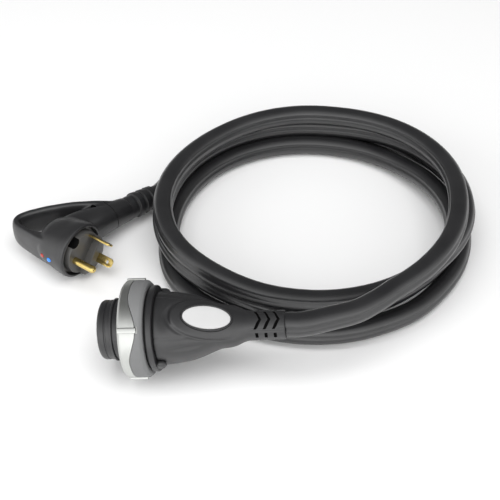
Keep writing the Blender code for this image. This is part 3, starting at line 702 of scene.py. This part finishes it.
def badge():
    """plain oval plate, a little domed, in a dark bezel"""
    rows = [(1.4, -2.9), (1.4, 0.5), (1.2, 0.9), (0.6, 1.0), (0.25, 0.7), (0.2, -2.9)]
    rings = [[(x, y, z) for x, y in oval(BADGE_A + grow, BADGE_B + grow)] for grow, z in rows]
    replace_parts(piece('badge_surround', lofted(rings, True), BADGE, 'shell_black'), 'badge_bezel')
    rows = [(1.0, -1.3), (1.0, 0.5), (0.985, 0.75), (0.95, 0.88), (0.85, 1.02), (0.65, 1.18), (0.4, 1.28),
            (0.1, 1.32)]
    rings = [[(x, y, z) for x, y in oval((BADGE_A - 0.05) * k, (BADGE_B - 0.05) * k)] for k, z in rows]
    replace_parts(piece('badge_face', lofted(rings), BADGE, 'badge_white', sharp=60.0), 'badge_plate')


# ------------------------------------------------------------------ plug
FACE_R, ROOT, RIM_AT, STEP_AT = 25.4, -1.3, -3.5, 6.5
BLADE_L, BLADE_W, BLADE_T, HOLE_R = 22.6, 8.4, 1.8, 1.6
BLADES = {'hot': (11.2, 11.2, -45.0), 'neutral': (9.8, -9.9, 45.0)}
PIN_L, PIN_R, PIN_H = 22.6, 3.2, -12.0
LAMPS = {'red': (-27.5, -22.4, -0.4), 'blue': (-19.1, -23.5, -0.4)}
SCREW, SCREW_HOLE_R = (-23.8, 41.9, 5.6), 2.8
DRUM_R = 19.4                   # the raised middle of the face
NOTCH, NOTCH_R = (-8.7, 17.2), 5.0
HANDLE_HALF = 3.9               # half the thickness of the handle's band
SEAM_AT, SEAM_W = 4.35, 0.7     # place along NECK_ROWS, and width
SHELL_VOXEL = 0.8
LENS_R, LENS_SEAT_R = 2.05, 2.3
BOOT_RIDGES = [(4.2, 12.0), (12.6, 11.4), (20.6, 11.0)]


def head_skin():
    """round face running back to the heel; rows are n, h of the middle, half sizes, squareness"""
    rows = [(RIM_AT, 0.0, FACE_R - 0.5, FACE_R - 0.5, 2.0), (RIM_AT - 0.8, 0.0, FACE_R, FACE_R, 2.0),
            (-9.0, 0.0, FACE_R, FACE_R, 2.05), (-17.0, 0.0, 24.3, 23.4, 2.15), (-25.0, 0.0, 23.6, 21.4, 2.15),
            (-32.0, -0.4, 21.6, 18.8, 2.15), (-37.0, 0.2, 18.6, 15.6, 2.15), (-40.2, 1.5, 13.4, 11.4, 2.15),
            (-41.4, 2.0, 8.0, 7.0, 2.15)]
    return lofted([section((n, h, 0), ACROSS, UP, a, b, 96, power) for n, h, a, b, power in refined(rows, 3)])


def neck_ring(along, half_w, half_h, side, down, grow=0.0, count=64):
    middle = NECK_BASE + NECK_DIR * along + NECK_SIDE * side + UP * down
    return section(middle, NECK_SIDE, UP, half_w + grow, half_h + grow, count)


NECK_ROWS = [(-4.0, 14.5, 17.0, -3.0, 0.0), (8.0, 14.5, 17.5, -2.0, 0.0), (21.0, 14.4, 17.0, -0.8, -0.4),
             (34.0, 13.4, 15.6, 0.0, -1.8), (47.0, 12.2, 13.6, 0.0, -3.8), (60.0, 11.3, 12.0, 0.0, -6.0),
             (BOOT_AT - 2.0, 10.7, 10.9, 0.0, -8.4)]


def handle_skin():
    """band from the heel's near side round to the neck; rows are n, h, height of the middle, half height"""
    route = [(-22.0, -17.0, -0.6, 14.0), (-30.0, -16.4, -1.0, 14.6), (-36.5, -15.9, -1.5, 14.2),
             (-50.0, -14.2, -2.6, 13.6), (-64.0, -11.8, -3.8, 12.9), (-71.2, -8.2, -4.4, 12.6),
             (-73.0, -2.6, -4.5, 12.5), (-70.6, 4.0, -4.4, 12.6), (-66.0, 10.2, -4.0, 12.9),
             (-58.2, 18.4, -3.2, 13.6), (-50.0, 25.2, -2.2, 14.2), (-41.0, 33.0, -1.4, 14.6),
             (-31.8, 40.8, -1.2, 14.4), (-26.0, 48.0, -1.8, 13.4), (-21.5, 55.5, -3.4, 11.8),
             (-17.5, 63.0, -5.6, 10.4)]
    path = smooth_path(route, 2.5)
    rings = []
    for before, here, after in zip([path[0]] + path, path, path[1:] + [path[-1]]):
        side = Vector((after.y - before.y, before.x - after.x, 0)).normalized()
        rings.append(section((here.x, here.y, here.z), side, UP, HANDLE_HALF, here.w, 48, 2.8))
    return lofted(rings)


def web_skin():
    """fills the corner between the heel and the handle's near side"""
    rows = [(-22.0, -10.0, -0.5, 8.0, 17.5), (-30.0, -10.5, -1.0, 8.5, 16.0), (-38.0, -12.0, -1.8, 7.0, 14.0),
            (-46.0, -13.0, -2.6, 5.4, 13.0), (-54.0, -13.2, -3.2, 4.2, 12.4)]
    return lofted([section((n, h, z), ACROSS, UP, a, b, 48, 2.4) for n, h, z, a, b in refined(rows, 4)])


def plug_shell():
    """head, neck and pull handle run into each other; recess, lamp seats, screw hole and seam cut in"""
    ob = piece('plug_shell', head_skin(), PLUG, 'shell_black')
    combine(ob, [cutter(lofted([neck_ring(*row) for row in refined(NECK_ROWS, 3)]), PLUG),
                 cutter(handle_skin(), PLUG), cutter(web_skin(), PLUG)], 'UNION')
    voxels = ob.modifiers.new('voxels', 'REMESH')
    voxels.mode = 'VOXEL'
    voxels.voxel_size = SHELL_VOXEL * MM
    soft = ob.modifiers.new('soft', 'SMOOTH')
    soft.factor = 0.5
    soft.iterations = 14
    settle(ob)
    # painted shade: the screw hole's walls get recess_black, darker than the shell
    ob.data.materials.append(LOOKS['recess_black'])
    guides = [cutter(rod((RIM_AT - 5, 0, 0), (3, 0, 0), FACE_R - 1.6, 128), PLUG),
              cutter(rod(SCREW, (SCREW[0], SCREW[1], 22.0), SCREW_HOLE_R), PLUG, 1)]
    for n, h, z in LAMPS.values():
        guides.append(cutter(rod((n, h + 2.9, z), (n, h - 4.0, z), LENS_SEAT_R), PLUG))
    at = smooth_rows(NECK_ROWS, SEAM_AT)
    seam = [neck_ring(at[0] + move, *at[1:], grow)
            for move, grow in ((0, 3.0), (SEAM_W, 3.0), (SEAM_W, -0.9), (0, -0.9))]
    guides.append(cutter(lofted(seam, True), PLUG))
    combine(ob, guides, sharp=50.0)
    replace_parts(ob, 'plug_housing', 'pull_handle')
    return [ob]


def plug_face():
    """thin rim, dark groove and the raised middle that the prongs stand in"""
    inner = FACE_R - 1.6
    rim = piece('face_ring', turned(rounded([
        (RIM_AT - 5, inner + 0.1), (RIM_AT + 0.5, inner + 0.1), (RIM_AT + 0.5, inner - 0.9),
        (RIM_AT - 0.6, inner - 1.5), (RIM_AT - 5, inner - 1.5)], 0.4)), PLUG, 'shell_black')
    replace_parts(rim, 'face_rim')
    middle = piece('face_middle', turned(rounded([
        (RIM_AT - 4.9, 0), (RIM_AT - 4.9, inner - 1.7), (RIM_AT - 3.8, inner - 1.7), (RIM_AT - 3.8, DRUM_R),
        (0.0, DRUM_R - 0.2), (0.0, 0)], 0.5)), PLUG, 'carrier_grey')
    step_r = DRUM_R - 0.6
    reach = math.acos(5.5 / step_r)
    arc = [reach * (k / 16 - 1) for k in range(33)]
    turn = Matrix.Rotation(math.radians(180 + BLADES['neutral'][2]), 4, 'X')
    outline = [(step_r * math.sin(a), step_r * math.cos(a)) for a in arc]
    step = extruded(outline, -3.0, STEP_AT, along_x=True)
    front = [e for e in step.edges if all(v.co.x > 0 for v in e.verts)]
    bmesh.ops.bevel(step, geom=front, offset=0.7, segments=3, profile=0.5, affect='EDGES')
    combine(middle, [cutter(step, PLUG @ turn)], 'UNION')
    # painted shade: the notch's walls get recess_black, darker than the face insert
    middle.data.materials.append(LOOKS['recess_black'])
    combine(middle, [cutter(rod((-7.1, *NOTCH), (2.0, *NOTCH), NOTCH_R, 48), PLUG, 1)])
    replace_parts(middle, 'face_insert')
    return [rim, middle]


def prongs():
    half, hole = BLADE_W / 2, BLADE_L - 5.6
    tip = [(BLADE_L - 2.8, -half), (BLADE_L - 1.6, 0.4 - half), (BLADE_L - 0.6, 1.2 - half),
           (BLADE_L, 2.5 - half)]
    outline = [(ROOT, -half)] + tip + [(n, -w) for n, w in [(ROOT, -half)] + tip][::-1]
    made = []
    for name, (h, z, turn) in BLADES.items():
        seat = PLUG @ Matrix.Translation((0, h, z)) @ Matrix.Rotation(math.radians(turn), 4, 'X')
        bm = extruded(outline, -BLADE_T / 2, BLADE_T / 2)
        bmesh.ops.bevel(bm, geom=bm.edges[:], offset=0.28, segments=3, profile=0.5, affect='EDGES')
        blade = piece('prong_' + name, bm, seat, 'brass')
        rim = [(-2.0, 0), (-2.0, HOLE_R + 1.4), (-0.62, HOLE_R), (0.62, HOLE_R), (2.0, HOLE_R + 1.4),
               (2.0, 0)]
        upright = Matrix.Translation((hole, 0, 0)) @ Matrix.Rotation(math.radians(90), 4, 'Y')
        combine(blade, [cutter(turned(rim, 48), seat @ upright)])
        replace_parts(blade, 'blade_' + name)
        made.append(blade)
    profile = [(ROOT, 0), (ROOT, PIN_R), (PIN_L - 2.4, PIN_R), (PIN_L - 0.6, PIN_R - 1.0),
               (PIN_L, PIN_R - 2.2), (PIN_L, 0)]
    pin = piece('prong_ground', turned(rounded(profile, 0.6), 64),
                PLUG @ Matrix.Translation((0, PIN_H, 0)), 'brass', sharp=60.0)
    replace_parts(pin, 'ground_pin')
    return made + [pin]


def lamps():
    made = []
    for name, (n, h, z) in LAMPS.items():
        dome = [(0.0, 0.0), (4.1, 0.0), (4.0, 1.0), (3.7, 1.6), (3.3, 1.95), (2.9, LENS_R), (0.0, LENS_R)]
        outward = Matrix.Translation((n, h + 2.4, z)) @ Matrix.Rotation(math.radians(-90), 4, 'Z')
        lens = piece('lens_' + name, turned(dome, 48), PLUG @ outward, name + '_lamp', sharp=60.0)
        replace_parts(lens, 'lamp_' + name)
        made.append(lens)
    return made


def boot():
    """stepped strain relief with three raised rings"""
    profile = [(-3.6, 9.6), (-3.6, 10.7), (3.4, 10.8)]
    for s, ridge in BOOT_RIDGES:
        profile += [(s, 9.7), (s + 1.6, 9.7), (s + 2.0, ridge), (s + 7.8, ridge - 0.5)]
    profile += [(BOOT_LEN, 9.9), (BOOT_LEN, 9.6)]
    ob = piece('plug_boot', turned(rounded(profile, 0.8), 96), BOOT, 'grip_black')
    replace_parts(ob, 'plug_strain_relief')
    return ob


camera()
floor()
light()
for node_name, node in frame["nodes"].items():
    wanted = next(s["material_slot"] for s in frame["record"]["subparts"] if s["node"] == node_name)
    node.data.materials.clear()
    node.data.materials.append(LOOKS[wanted])
nose()
collar()
locking_ring()
badge()
grip()
plug_pieces = plug_shell() + plug_face() + prongs() + lamps()
cord_mesh, cord_path, cord_length = cord()
plug_pieces + [boot(), frame["nodes"]['handle_screw']]
